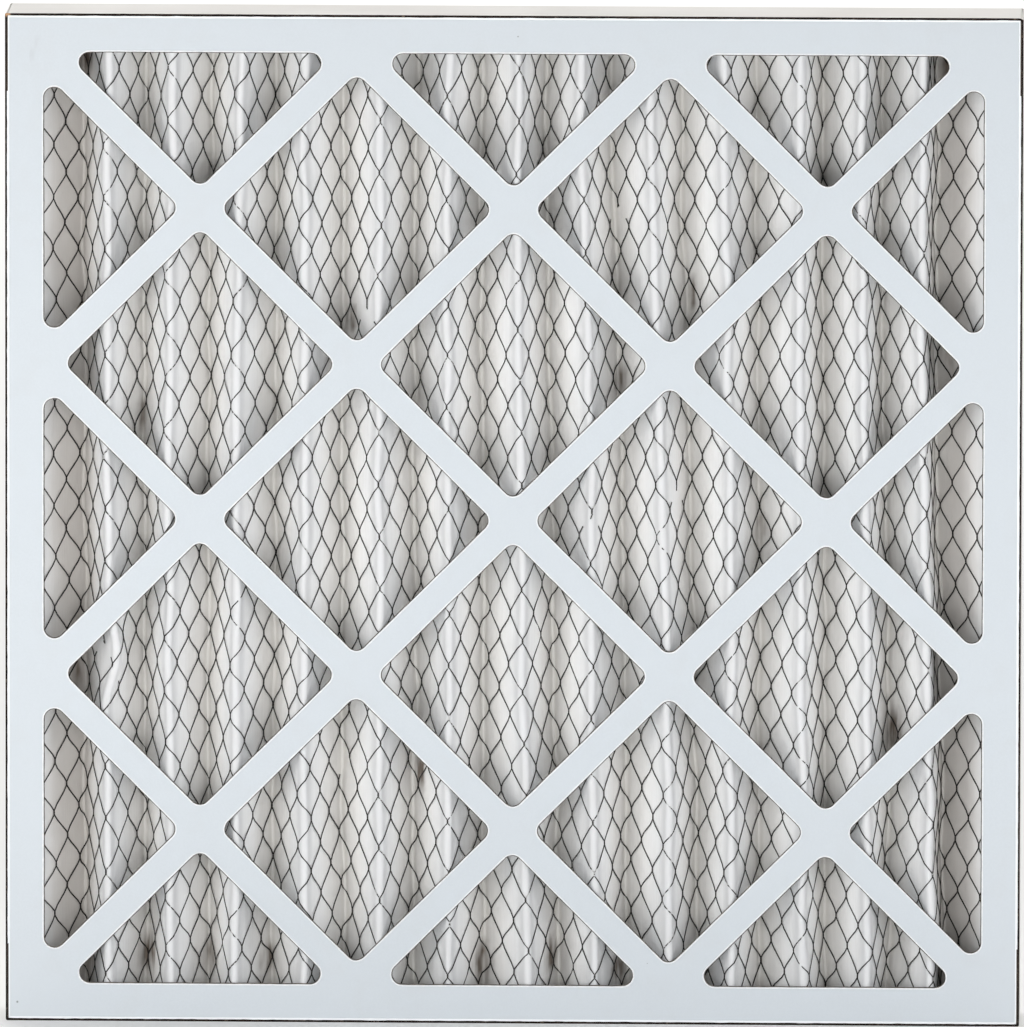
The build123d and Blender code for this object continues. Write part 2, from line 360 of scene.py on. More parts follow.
def skew(x, y, z):
    """The pack leans a little to the side and its rows sag with depth, as the photograph shows."""
    d = y - (CREST_CY - 2.5)
    row = 519.3 + (HH - z) / 0.4922
    return x - d * SHEAR, z + d * (2.547e-4 * (row - 125.0) - math.sin(math.radians(EL)))


# one crushed pleat on the left: (crest, height, reach up and down, sideways push)
CRUSH_Z, CRUSH_H = 172.0, 26.0


def crush(x, y, z):
    """Pushes the pleat of crest 1 sideways where it is dented."""
    g = np.exp(-((z - CRUSH_Z) / CRUSH_H) ** 2)
    near = np.exp(-((x + 198.0) / 9.0) ** 2) * smooth((8.0 - y) / 24.0)
    kink = g * near
    dx = kink * (4.2 * np.sin((z - CRUSH_Z) / 26.0 * 1.7 + 0.5) + 1.4)
    dy = kink * (0.9 + 1.6 * np.cos((z - CRUSH_Z) / 11.0))
    return x + dx, y + np.maximum(dy, 0.0)


# ------------------------------------------------------------------ pleated media
N_ARC, N_LEG, N_ROW = 5, 6, 124
# painted brown shade in the valleys, where they run behind the strips and into the top and bottom walls: (across, up,
# half width, half height)
PAINTED_SHADE_SPOTS = [(-179.0, 28.0, 5.0, 12.0), (-149.5, 28.0, 3.0, 10.0), (-121.0, 26.0, 4.0, 9.0), (-15.5, 24.0, 4.5, 12.0),
           (18.0, 30.0, 3.5, 10.0), (50.5, 23.0, 4.0, 9.0), (86.5, 355.0, 3.5, 9.0), (-79.5, 343.0, 3.0, 7.0),
           (211.5, 471.0, 7.0, 12.0), (-211.0, 471.0, 6.0, 10.0), (-210.0, 29.0, 7.0, 12.0), (211.0, 27.0, 6.0, 10.0), (-182.5, 294.5, 2.5, 10.0), (119.0, 122.0, 3.0, 11.0), (186.0, 140.0, 4.5, 14.0),
           (212.0, 330.0, 4.0, 14.0), (51.8, 313.0, 3.2, 9.0), (-64.0, 245.0, 2.5, 9.0), (-213.5, 178.0, 4.0, 22.0), (120.0, 240.0, 3.0, 9.0), (-46.0, 120.0, 3.0, 12.0)]


def build_media():
    z = np.linspace(Z_LO, Z_HI, N_ROW)
    x, y, nx, ny, tag = sections(z, 0.0, N_ARC, N_LEG)
    ncol = x.shape[1]
    arc = np.concatenate([np.zeros((N_ROW, 1)), np.cumsum(np.hypot(np.diff(x, axis=1), np.diff(y, axis=1)), axis=1)], axis=1)
    zz = np.repeat(z[:, None], ncol, axis=1)
    crest = np.array([1.0 if (t[1] >= 0 and S[int(t[0])] > 0) else 0.0 for t in tag])[None, :]
    valley = np.array([1.0 if (t[1] >= 0 and S[int(t[0])] < 0) else 0.0 for t in tag])[None, :]
    ridge = waves2(11, 14, (2.2, 6.0), (45, 160))
    pillow = waves2(12, 12, (9, 22), (14, 40))
    slow = waves2(13, 10, (25, 70), (60, 220))
    disp = 0.10 * ridge(arc, zz) * (0.35 + 0.9 * crest) + 0.10 * pillow(arc, zz) * (1 - 0.7 * crest) + 0.16 * slow(arc, zz)
    disp *= 1 - 0.8 * valley
    ends = smooth(np.minimum(z - Z_LO, Z_HI - z) / 6.0)[:, None]
    disp *= 0.3 + 0.7 * ends
    surf = []
    for side in (1, -1):
        th = 0.75 * side
        # radius-true offset on the folds
        px, py, _, _, _ = sections(z, th, N_ARC, N_LEG)
        dd = disp - 0.18 if side > 0 else disp + 0.1
        px, py = px + nx * dd, py + ny * dd
        px, py = crush(px, py, zz)
        py = np.clip(py, -20.95, 21.4)
        sx, sz = skew(px, py, zz)
        sz = np.clip(sz, Z_LO - 1.0, Z_HI + 1.0)
        # the ends stay on the adhesive
        k = (1 - smooth(np.minimum(z - Z_LO, Z_HI - z) / 25.0))[:, None]
        sz = sz * (1 - k) + zz * k
        surf.append(np.stack([sx, py, sz], axis=2))
    verts = np.concatenate([surf[0].reshape(-1, 3), surf[1].reshape(-1, 3)])
    n1 = N_ROW * ncol
    faces = []
    for r in range(N_ROW - 1):
        a = r * ncol
        for c in range(ncol - 1):
            i0, i1, j0, j1 = a + c, a + c + 1, a + c + ncol, a + c + ncol + 1
            faces.append((i0, i1, j1, j0))
            faces.append((n1 + i0, n1 + j0, n1 + j1, n1 + i1))
    for c in range(ncol - 1):
        faces.append((c, n1 + c, n1 + c + 1, c + 1))
        t = (N_ROW - 1) * ncol + c
        faces.append((t, t + 1, n1 + t + 1, n1 + t))
    for r in range(N_ROW - 1):
        a = r * ncol
        faces.append((a, a + ncol, n1 + a + ncol, n1 + a))
        b = a + ncol - 1
        faces.append((b, n1 + b, n1 + b + ncol, b + ncol))
    pts = verts
    # painted brown shade where the valleys run behind the strips and walls, on the front side only
    painted_valley_shade = np.zeros(len(pts))
    for ax, az, rw, rh in PAINTED_SHADE_SPOTS:
        far = np.sqrt(((pts[:, 0] - ax) / rw) ** 2 + ((pts[:, 1] - 12.0) / 22.0) ** 2 + ((pts[:, 2] - az) / rh) ** 2)
        painted_valley_shade = np.maximum(painted_valley_shade, smooth((1.25 - far) / 1.1))
    painted_valley_shade = np.clip(1.5 * painted_valley_shade, 0, 1) * smooth((pts[:, 1] + 12.0) / 14.0)
    painted_valley_shade[n1:] = 0.0
    mottle_and_side_shade = np.clip(0.5 + 0.4 * waves2(14, 16, (7, 30), (12, 60))(arc, zz), 0, 1)
    # painted shade: the outer pleats beside the side walls darken, more so deeper in
    outer = smooth((np.abs(surf[0][:, :, 0]) - 203.0) / 11.0) * smooth((surf[0][:, :, 1] + 14.0) / 16.0)
    mottle_and_side_shade = mottle_and_side_shade + 7.5 * outer
    at = {"painted_valley_shade": painted_valley_shade, "mottle_and_side_shade": np.tile(mottle_and_side_shade.reshape(-1), 2), "arc": np.tile((arc * MM).reshape(-1), 2),
          "crest": np.tile(np.broadcast_to(crest, arc.shape).reshape(-1), 2),
          "valley": np.tile(np.broadcast_to(valley, arc.shape).reshape(-1), 2),
          "front": np.concatenate([np.ones(n1), np.zeros(n1)])}
    return mesh_object("pleated_media_sheet", verts, faces, at)


media = build_media()

# ------------------------------------------------------------------ expanded metal
# column number of the mesh's bonds at each crest: about 7.1 half-diamonds to a pleat
COL_AT = np.array([-51.0, -42.85, -35.75, -28.6, -21.5, -14.0, -7.0, 0.0, 7.0, 14.35, 21.5, 28.6, 35.7, 42.9, 51.4])
ROW_PITCH = 25.5
ROW_Z0 = 366.9                    # height of a bond of the even columns
BOND = 2.3
WIRE_OFF = 0.99
M_TAB = 65


def wire_table():
    z = np.linspace(Z_LO + 2, Z_HI - 2, 260)
    x, y, nx, ny, tag = sections(z, WIRE_OFF, 9, 8)
    crest_mid = [k for k, t in enumerate(tag) if t[1] == 0.5 and S[int(t[0])] > 0]
    tab = np.empty((len(z), 16, M_TAB, 4))
    arc = np.concatenate([np.zeros((len(z), 1)), np.cumsum(np.hypot(np.diff(x, axis=1), np.diff(y, axis=1)), axis=1)], axis=1)
    bounds = [0] + crest_mid + [x.shape[1] - 1]
    lengths = []
    for p in range(16):
        a, b = bounds[p], bounds[p + 1]
        lengths.append(arc[0, b] - arc[0, a])
        for r in range(len(z)):
            s = (arc[r, a:b + 1] - arc[r, a]) / (arc[r, b] - arc[r, a])
            q = np.linspace(0, 1, M_TAB)
            tab[r, p, :, 0] = np.interp(q, s, x[r, a:b + 1])
            tab[r, p, :, 1] = np.interp(q, s, y[r, a:b + 1])
            tab[r, p, :, 2] = np.interp(q, s, nx[r, a:b + 1])
            tab[r, p, :, 3] = np.interp(q, s, ny[r, a:b + 1])
    return z, tab, lengths


WZ, WTAB, WLEN = wire_table()
_half = np.mean([WLEN[p] / (COL_AT[p] - COL_AT[p - 1]) for p in range(1, 15)])
COL_EDGES = np.concatenate([[COL_AT[0] - WLEN[0] / _half], COL_AT, [COL_AT[-1] + WLEN[15] / _half]])


def wire_map(c, z):
    """Place on the folded sheet of column coordinate c at height z: x, y and the front normal."""
    c, z = np.asarray(c, float), np.asarray(z, float)
    p = np.clip(np.searchsorted(COL_EDGES, c, side="right") - 1, 0, 15)
    f = np.clip((c - COL_EDGES[p]) / (COL_EDGES[p + 1] - COL_EDGES[p]), 0, 1) * (M_TAB - 1)
    r = np.clip((z - WZ[0]) / (WZ[1] - WZ[0]), 0, len(WZ) - 1.001)
    f = np.clip(f, 0, M_TAB - 1.001)
    r0, f0 = r.astype(int), f.astype(int)
    tr, tf = (r - r0)[..., None], (f - f0)[..., None]
    v = (WTAB[r0, p, f0] * (1 - tr) * (1 - tf) + WTAB[r0 + 1, p, f0] * tr * (1 - tf)
         + WTAB[r0, p, f0 + 1] * (1 - tr) * tf + WTAB[r0 + 1, p, f0 + 1] * tr * tf)
    return v[..., 0], v[..., 1], v[..., 2], v[..., 3]


def px_of(x, z):
    return 511.9 + x / 0.488, 519.3 + (HH - z) / 0.4922


# places where a strand is broken or bent, as (x, z) in millimetres across and up
BROKEN = [(-116.0, 459.0), (-30.0, 470.0), (-84.0, 120.0), (91.8, 119.0), (-198.5, 172.0), (-196.0, 165.0),
          (-73.0, 352.0), (128.5, 366.0), (153.0, 436.0), (50.0, 402.0), (-204.0, 180.0), (81.0, 256.0),
          (38.2, 245.5), (-18.0, 306.0), (32.3, 306.3), (-147.5, 355.0), (-111.0, 447.0), (15.5, 306.0)]


def build_wire():
    r = rng(5)
    c_lo, c_hi = int(math.ceil(COL_EDGES[0] + 0.3)), int(math.floor(COL_EDGES[-1] - 0.3))
    z_lo, z_hi = 6.2, 489.0
    strands = []                      # each: arrays c, z, width, glint
    jit = {}

    def bond(c, k):
        """Middle of bond k of column c, with its own small displacement."""
        if (c, k) not in jit:
            rr = rng(100000 + (c + 200) * 400 + k + 100)
            jit[(c, k)] = (rr.normal(0, 0.035), rr.normal(0, 0.35), rr.uniform(0.8, 1.2))
        return jit[(c, k)]

    def bond_z(c, k):
        return ROW_Z0 + k * ROW_PITCH + (0 if c % 2 == 0 else ROW_PITCH / 2)

    k_lo = int(math.floor((z_lo - ROW_Z0) / ROW_PITCH)) - 1
    k_hi = int(math.ceil((z_hi - ROW_Z0) / ROW_PITCH)) + 1
    paths = []
    for c in range(c_lo, c_hi + 1):
        for k in range(k_lo, k_hi + 1):
            zc = bond_z(c, k)
            if not (z_lo < zc < z_hi):
                continue
            jc, jz, jl = bond(c, k)
            bl = BOND * jl
            zc += jz
            # the bond: where two strands are one strip of metal
            t = np.array([0.0, 0.5, 1.0])
            paths.append((np.full(3, c + jc), zc + (t - 0.5) * bl, "bond", c, k, 1))
            # strands that rise from this bond to the columns on either side
            for sgn in (-1, 1):
                c2 = c + sgn
                if c2 < c_lo or c2 > c_hi:
                    continue
                k2 = k if c % 2 == 0 else k + 1
                z2c = bond_z(c2, k2)
                if z2c > z_hi:
                    continue
                jc2, jz2, jl2 = bond(c2, k2)
                za, zb = zc + bl / 2, z2c + jz2 - BOND * jl2 / 2
                ca, cb = c + jc + sgn * 0.021, c2 + jc2 - sgn * 0.021
                # more points where the strand turns over a crest or into a valley
                probe = np.linspace(0, 1, 9)
                px, py, pnx, pny = wire_map(ca + (cb - ca) * probe, za + (zb - za) * probe)
                turn = pnx[0] * pnx[-1] + pny[0] * pny[-1]
                over = turn < 0.97 * math.hypot(pnx[0], pny[0]) * math.hypot(pnx[-1], pny[-1])
                n = 6 if over else 5
                t = np.linspace(0, 1, n)
                low = over and py.max() > 9.0
                # the sheet kinks where it was pushed into a valley
                bend = (0.30 if low else 0.80 if over else 0.60) + 0.20 * r.uniform(-1, 1)
                s = bend * t + (1 - bend) * smooth(t)
                cc = ca + (cb - ca) * s + 0.03 * math.copysign(1, r.uniform(-1, 1)) * np.sin(math.pi * t) * r.uniform(0, 1)
                zs = za + (zb - za) * t
                if over and py.min() < -8.0:
                    # pulled straight over the crest
                    qx = wire_map(cc, zs)[0]
                    if abs(qx[-1] - qx[0]) > 1.0:
                        f = np.clip((qx - qx[0]) / (qx[-1] - qx[0]), 0, 1)
                        zs = za + (zb - za) * (0.75 * t + 0.25 * f)
                paths.append((cc, zs, "strand", c, k, sgn))
    verts, faces, painted_glint, depth = [], [], [], []

    def sweep(c, z, width, thick, gl):
        x, y, nx, ny = wire_map(c, z)
        x, y = crush(x, y, z)
        # tangent and side vector on the sheet
        lx, lz = skew(x, y, z)
        p = np.stack([lx, y, lz], axis=1)
        nrm = np.stack([nx, ny, np.zeros_like(nx)], axis=1)
        nrm /= np.linalg.norm(nrm, axis=1)[:, None]
        tan = np.gradient(p, axis=0)
        tan /= np.linalg.norm(tan, axis=1)[:, None] + 1e-9
        side = np.cross(tan, nrm)
        side /= np.linalg.norm(side, axis=1)[:, None] + 1e-9
        n2 = np.cross(side, tan)
        base = len(verts)
        m = len(c)
        for i in range(m):
            w = width[i] / 2
            for a, b in ((-1, -1), (1, -1), (1, 1), (-1, 1)):
                verts.append(p[i] + side[i] * w * a + n2[i] * thick / 2 * b)
                painted_glint.append(gl[i])
                depth.append(y[i])
        for i in range(m - 1):
            for j in range(4):
                a, b = base + i * 4 + j, base + i * 4 + (j + 1) % 4
                faces.append((a, b, b + 4, a + 4))
        faces.append(tuple(base + j for j in (3, 2, 1, 0)))
        faces.append(tuple(base + (m - 1) * 4 + j for j in (0, 1, 2, 3)))

    gr = rng(77)
    for c, z, kind, ci, ki, sgn in paths:
        x, y, nx, ny = wire_map(c, z)
        if kind == "bond":
            # painted glint: some bonds over the crests turn bright
            painted_shine = gr.uniform(0.5, 1.0) if gr.uniform() < 0.30 else 0.0
            sweep(c, z, (0.82 + 0.12 * smooth((y + 6) / 20)) * np.array([0.80, 1.0, 0.80]), 0.34, np.clip((-(y) - 17.5) / 2.0, 0, 1) * painted_shine)
            continue
        xm, zm = float(x[len(x) // 2]), float(z[len(z) // 2])
        broken = min((math.hypot(xm - bx, zm - bz) for bx, bz in BROKEN)) < 4.8
        if broken and gr.uniform() < 0.45:
            # the strand has parted: a stub at each end, one of them lifted
            cut = gr.uniform(0.35, 0.6)
            n1 = max(2, int(cut * len(c)))
            sweep(c[:n1], z[:n1], np.full(n1, 0.52), 0.32, np.zeros(n1))
            if gr.uniform() < 0.6:
                n2 = max(2, int((1 - cut) * len(c)) - 1)
                cc = c[-n2:] + np.linspace(0.25, 0, n2) * sgn
                sweep(cc, z[-n2:], np.full(n2, 0.52), 0.32, np.zeros(n2))
            continue
        # painted glints: bright dashes on strands over the crests, most often just right of a crest
        top = np.clip((-(y) - 15.5) / 5.0, 0, 1)
        near = np.abs(COL_AT - (ci + 0.5 * sgn)).min()
        right_of = ((COL_AT - (ci + 0.5 * sgn)) < 0.0)[np.abs(COL_AT - (ci + 0.5 * sgn)).argmin()]
        chance = (0.45 if right_of else 0.14) if near < 1.3 else 0.06
        g = top * (gr.uniform(0.55, 1.0) if gr.uniform() < chance else gr.uniform(0.0, 0.25))
        sweep(c, z, gr.uniform(0.44, 0.53) + 0.11 * smooth((y + 6) / 20), 0.32, g)
    ob = mesh_object("expanded_metal_support", verts, faces, {"painted_glint": painted_glint, "depth": np.array(depth) * MM}, smooth_shade=False)
    return ob


wire = build_wire()


# ------------------------------------------------------------------ die-cut rims of the openings
def outline_points(i, j, grow=0.0):
    """Rounded outline of the opening at (i, j): points in x, z. The argument grow is not used."""
    s = OPEN_HALF
    cx, cz = i * STEP, HH + j * STEP
    right, top, left, bottom = (cx + s, cz), (cx, cz + s), (cx - s, cz), (cx, cz - s)
    if i == -3:
        pts = [right, top, bottom]
    elif i == 3:
        pts = [left, bottom, top]
    elif j == -3:
        pts = [top, left, right]
    elif j == 3:
        pts = [bottom, right, left]
    else:
        pts = [right, top, left, bottom]
    pts = [np.array(p, float) for p in pts]
    out, nor = [], []
    n = len(pts)
    for q in range(n):
        p, a, b = pts[q], pts[q - 1], pts[(q + 1) % n]
        ua, ub = (a - p) / np.linalg.norm(a - p), (b - p) / np.linalg.norm(b - p)
        half = math.acos(np.clip(ua @ ub, -1, 1)) / 2
        bis = (ua + ub) / np.linalg.norm(ua + ub)
        c = p + bis * OPEN_R / math.sin(half)
        t0, t1 = p + ua * OPEN_R / math.tan(half), p + ub * OPEN_R / math.tan(half)
        a0 = math.atan2(*(t0 - c)[::-1])
        a1 = math.atan2(*(t1 - c)[::-1])
        d = (a1 - a0 + math.pi) % (2 * math.pi) - math.pi
        for t in np.linspace(0, 1, 9):
            th = a0 + d * t
            nv = np.array([math.cos(th), math.sin(th)])
            out.append(c + nv * OPEN_R)
            nor.append(nv)
        # straight run to the next corner, in steps
        p2, a2, b2 = pts[(q + 1) % n], p, pts[(q + 2) % n]
        u2a, u2b = (a2 - p2) / np.linalg.norm(a2 - p2), (b2 - p2) / np.linalg.norm(b2 - p2)
        half2 = math.acos(np.clip(u2a @ u2b, -1, 1)) / 2
        e = p2 + u2a * OPEN_R / math.tan(half2)
        s0 = out[-1]
        m = max(2, int(np.linalg.norm(e - s0) / 6.0))
        for t in np.linspace(0, 1, m + 1)[1:-1]:
            out.append(s0 + (e - s0) * t)
            nor.append(nor[-1])
    out, nor = np.array(out), np.array(nor)
    return out, nor


def build_rims(name, face_y, sign):
    """The crushed lip and the sloping cut of the board round each opening. sign is -1 on the front."""
    # (outwards from the opening's outline, into the filter, colour key: 1 lip, 0 cut)
    prof = [(0.72, 0.0, 1.0), (0.60, -0.035, 1.0), (0.38, -0.05, 1.0), (0.14, -0.03, 1.0), (0.0, 0.04, 1.0),
            (-0.04, 0.10, 0.0), (-0.30, 0.38, 0.0), (-0.44, 0.62, 0.0), (-0.40, 0.72, 0.0), (0.05, 0.74, 0.0)]
    verts, faces, key = [], [], []
    for i in range(-3, 4):
        for j in range(-3, 4):
            if (i + j) % 2 == 0:
                continue
            pts, nor = outline_points(i, j)
            n = len(pts)
            wob = waves(3000 + (i + 3) * 10 + j + 3 + (500 if sign > 0 else 0), 6, 5, 30)
            run = np.concatenate([[0], np.cumsum(np.linalg.norm(np.diff(pts, axis=0), axis=1))])
            w = 0.05 * wob(run)
            base = len(verts)
            for q in range(n):
                for o, dpt, k in prof:
                    p = pts[q] + nor[q] * (o + (w[q] if k < 0.5 or o < 0.2 else 0.0))
                    verts.append((p[0], face_y - sign * dpt, p[1]))
                    key.append(k)
            m = len(prof)
            for q in range(n):
                q2 = (q + 1) % n
                for t in range(m - 1):
                    a, b = base + q * m + t, base + q * m + t + 1
                    c, d = base + q2 * m + t + 1, base + q2 * m + t
                    faces.append((a, b, c, d) if sign < 0 else (a, d, c, b))
                a, b = base + q * m + m - 1, base + q * m
                c, d = base + q2 * m, base + q2 * m + m - 1
                faces.append((a, b, c, d) if sign < 0 else (a, d, c, b))
    return mesh_object(name, verts, faces, {"lip": key})


rims_front = build_rims("die_cut_rims_front", YF + 0.15, -1)
rims_rear = build_rims("die_cut_rims_rear", YB, 1)


# ------------------------------------------------------------------ raw cut edge of the outer tray
def build_cut_edge():
    """Frayed fibre along the outer tray's cut edge, flush round the front face; its near-black colour is partly painted
    shadow of the gap between the trays.
    """
    verts, faces, key = [], [], []
    r0 = 0.0
    corners = [(-HW, 0.0), (HW, 0.0), (HW, H), (-HW, H)]
    rad = [0.9, 0.9, 2.0, 0.7]
    path, nor = [], []
    for q in range(4):
        p = np.array(corners[q], float)
        a, b = np.array(corners[q - 1], float), np.array(corners[(q + 1) % 4], float)
        ua, ub = (a - p) / np.linalg.norm(a - p), (b - p) / np.linalg.norm(b - p)
        c = p + (ua + ub) * rad[q]
        a0 = math.atan2(*((p + ua * rad[q]) - c)[::-1])
        a1 = math.atan2(*((p + ub * rad[q]) - c)[::-1])
        d = (a1 - a0 + math.pi) % (2 * math.pi) - math.pi
        for t in np.linspace(0, 1, 7):
            th = a0 + d * t
            nv = np.array([math.cos(th), math.sin(th)])
            path.append(c + nv * rad[q])
            nor.append(nv)
        e = b + (p - b) / np.linalg.norm(p - b) * rad[(q + 1) % 4]
        s0 = path[-1]
        m = int(np.linalg.norm(e - s0) / 1.5)
        for t in np.linspace(0, 1, m + 1)[1:-1]:
            path.append(s0 + (e - s0) * t)
            nor.append(nor[-1])
    path, nor = np.array(path), np.array(nor)
    run = np.concatenate([[0], np.cumsum(np.linalg.norm(np.diff(path, axis=0), axis=1))])
    w_in, w_out, w_y = waves(41, 18, 2.5, 40), waves(42, 14, 4, 60), waves(43, 16, 2.5, 30)
    n = len(path)
    prof_n = 6
    for q in range(n):
        outer = -0.02 + 0.03 * w_out(run[q])
        # a little wider above and below: painted shadow along the top and bottom edges
        inner = -0.92 - 0.06 * w_in(run[q]) - 0.12 * max(0.0, -nor[q][1]) - 0.22 * max(0.0, nor[q][1])
        lift = 0.06 + 0.035 * w_y(run[q])
        mid = (outer + inner) / 2
        for o, dy in ((outer, 0.25), (outer - 0.02, -0.3 * lift), (mid + 0.12, -lift), (mid - 0.12, -lift * 0.7),
                      (inner, -0.2 * lift), (inner, 0.25)):
            p = path[q] + nor[q] * o
            verts.append((p[0], YF + dy, p[1]))
            key.append(run[q] / run[-1])
    for q in range(n):
        q2 = (q + 1) % n
        for t in range(prof_n):
            a, b = q * prof_n + t, q * prof_n + (t + 1) % prof_n
            c, d = q2 * prof_n + (t + 1) % prof_n, q2 * prof_n + t
            faces.append((a, b, c, d))
    edge = mesh_object("raw_cut_edge_and_gap_shadow", verts, faces, {"run": key})
    # the inner tray's fold, crushed flat against the outer wall, in a lighter copy of the board: a painted highlight
    # along the bend
    verts, faces = [], []
    w_a, w_b = waves(44, 12, 8, 90), waves(45, 12, 5, 60)
    prof = ((-0.735, 0.60), (-0.75, 0.16), (-0.95, 0.105), (-1.35, 0.090), (-1.80, 0.115), (-2.10, 0.16), (-2.10, 0.60))
    m = len(prof)
    for q in range(n):
        for k, (o, dy) in enumerate(prof):
            oo = o + (0.03 * w_a(run[q]) if 0 < k < m - 1 else 0.0)
            p = path[q] + nor[q] * oo
            verts.append((p[0], YF + dy + (0.012 * w_b(run[q]) if 0 < k < 4 else 0.0), p[1]))
    for q in range(n):
        q2 = (q + 1) % n
        for t in range(m):
            a, b = q * m + t, q * m + (t + 1) % m
            c, d = q2 * m + (t + 1) % m, q2 * m + t
            faces.append((a, b, c, d))
    return edge, mesh_object("crushed_fold_painted_highlight", verts, faces)


cut_edge, fold_lip_highlight = build_cut_edge()


# ------------------------------------------------------------------ adhesive along the walls
def build_bead(name, z_wall, up):
    """Hot-melt that follows the zigzag of the pleats along the top or bottom wall."""
    z = np.array([z_wall])
    ncols = None
    rows = []
    prof = [(1.45, 0.0), (1.35, 0.5), (0.95, 0.95), (0.2, 1.15), (-0.6, 1.05), (-1.2, 0.7), (-1.35, 0.0)]
    wob = waves2(61 if up > 0 else 62, 10, (6, 26), (50, 60))
    for off, h in prof:
        o = max(-1.35, min(1.35, off))
        x, y, nx, ny, tag = sections(z, o, 5, 8)
        ncols = x.shape[1]
        arc = np.arange(ncols) * 3.0
        hh = h * (1 + 0.22 * wob(arc, 0.0))
        yy = np.clip(y[0] + ny[0] * 0.10 * wob(arc, 9.0), -21.3, 21.45)
        rows.append(np.stack([x[0] - (y[0] - CREST_CY + 2.5) * 0.0, yy, np.full(ncols, z_wall) - up * hh], axis=1))
    verts = np.concatenate(rows)
    m = len(prof)
    faces = []
    for r in range(m):
        r2 = (r + 1) % m
        for c in range(ncols - 1):
            a, b = r * ncols + c, r * ncols + c + 1
            d, e = r2 * ncols + c, r2 * ncols + c + 1
            faces.append((a, b, e, d) if up < 0 else (a, d, e, b))
    faces.append(tuple(r * ncols for r in range(m)) if up > 0 else tuple(r * ncols for r in reversed(range(m))))
    faces.append(tuple(r * ncols + ncols - 1 for r in reversed(range(m))) if up > 0 else tuple(r * ncols + ncols - 1 for r in range(m)))
    return mesh_object(name, verts, faces)


bead_top = build_bead("hot_melt_top", HH + 246.2, 1)
bead_bottom = build_bead("hot_melt_bottom", HH - 246.2, -1)


def build_side_bead(name, sx):
    """Squeezed hot-melt between the last fold and a side wall."""
    n = 160
    z = np.linspace(4.0, H - 4.0, n)
    wa, wb = waves(71 if sx > 0 else 72, 10, 8, 50), waves(73 if sx > 0 else 74, 10, 10, 60)
    flap = ((z < 39.5) | (z > H - 39.5))
    wall = np.where(flap, 244.75, 245.45)
    verts, faces = [], []
    prof = [(0.0, -2.0), (0.35, -2.5), (1.0, -2.2), (1.0, 1.6), (0.45, 2.0), (0.0, 1.7)]
    for k in range(n):
        x0, x1 = 243.45, wall[k]
        for f, dy in prof:
            yy = 19.2 + dy * (1 + 0.16 * wa(z[k])) + 0.15 * wb(z[k])
            verts.append((sx * (x0 + (x1 - x0) * f), min(yy, 21.35), z[k]))
    m = len(prof)
    for k in range(n - 1):
        for t in range(m):
            a, b = k * m + t, k * m + (t + 1) % m
            faces.append((a, b, b + m, a + m) if sx < 0 else (a, a + m, b + m, b))
    faces.append(tuple(range(m)) if sx > 0 else tuple(reversed(range(m))))
    faces.append(tuple((n - 1) * m + t for t in reversed(range(m))) if sx > 0 else tuple((n - 1) * m + t for t in range(m)))
    return mesh_object(name, verts, faces)


bead_left = build_side_bead("hot_melt_left", -1)
bead_right = build_side_bead("hot_melt_right", 1)


# ------------------------------------------------------------------ materials
def board_material(name, tint, front):
    m = Mat(name)
    obj = m.tc.outputs["Object"]
    geo = m.node("ShaderNodeNewGeometry")
    x, y, z = m.xyz(obj)
    fine = m.noise(m.mapping((1, 1, 1)), 900, 1, 0.6)
    cloud = m.noise(m.mapping((1, 1, 1), (3.1, 0, 1.7)), 24, 1, 0.55)
    fibre = m.noise(m.mapping((1, 1, 0.18), (1.3, 4.0, 0)), 620, 1, 0.6)
    c = m.mix(m.ramp(cloud, 0.3, 0.7, 0.0, 1.0), tuple(v * 0.982 for v in tint), tint)
    c = m.mix(m.ramp(fine, 0.35, 0.65, 0.0, 0.5), c, tuple(min(1, v * 1.02) for v in tint))
    # handling marks: faint grey scuffs near one corner
    sc = m.noise(m.mapping((1.0, 1.0, 0.25), (0.0, 0.0, 0.0)), 260, 1, 0.5)
    d = m.vmath("DISTANCE", obj, (-0.2365, -0.0222, 0.4785))
    scuff = m.math("MULTIPLY", m.ramp(sc, 0.60, 0.72), m.ramp(d, 0.003, 0.0095, 1.0, 0.0))
    c = m.mix(m.math("MULTIPLY", scuff, 0.22), c, (0.42, 0.43, 0.46))
    edges = m.math("MULTIPLY", m.ramp(m.noise(m.mapping((1, 1, 1), (7, 2, 5)), 70, 1, 0.6), 0.52, 0.72), 0.05)
    c = m.mix(edges, c, (0.50, 0.49, 0.47))
    if front:
        for px, pz, rad in ((2.0, 485.1, 0.5), (-164.9, 269.0, 0.75), (-122.9, 226.6, 0.45), (-242.0, 9.1, 0.75),
                            (66.0, 30.0, 0.3), (190.0, 330.0, 0.3)):
            dd = m.vmath("DISTANCE", obj, (px * MM, -0.0221, pz * MM))
            spot = m.ramp(dd, rad * 0.35 * MM, rad * MM, 0.8, 0.0)
            c = m.mix(spot, c, (0.17, 0.20, 0.19))
    # raw board where it is cut: a brown-grey core, darker than the coated faces, and partly painted shadow of the gap
    # between the trays
    nx, ny, nz = m.xyz(geo.outputs["Normal"])
    if not front:
        ends = m.math("MULTIPLY", m.ramp(m.math("MULTIPLY", ny, -1.0), 0.7, 0.95), m.ramp(y, -0.0219, -0.0221))
        c = m.mix(ends, c, (0.05, 0.036, 0.028))
    m.set(color=c, rough=m.ramp(cloud, 0.2, 0.8, 0.52, 0.62), spec=0.35)
    m.bump(fibre, 0.00003, 0.6)
    return m.mat


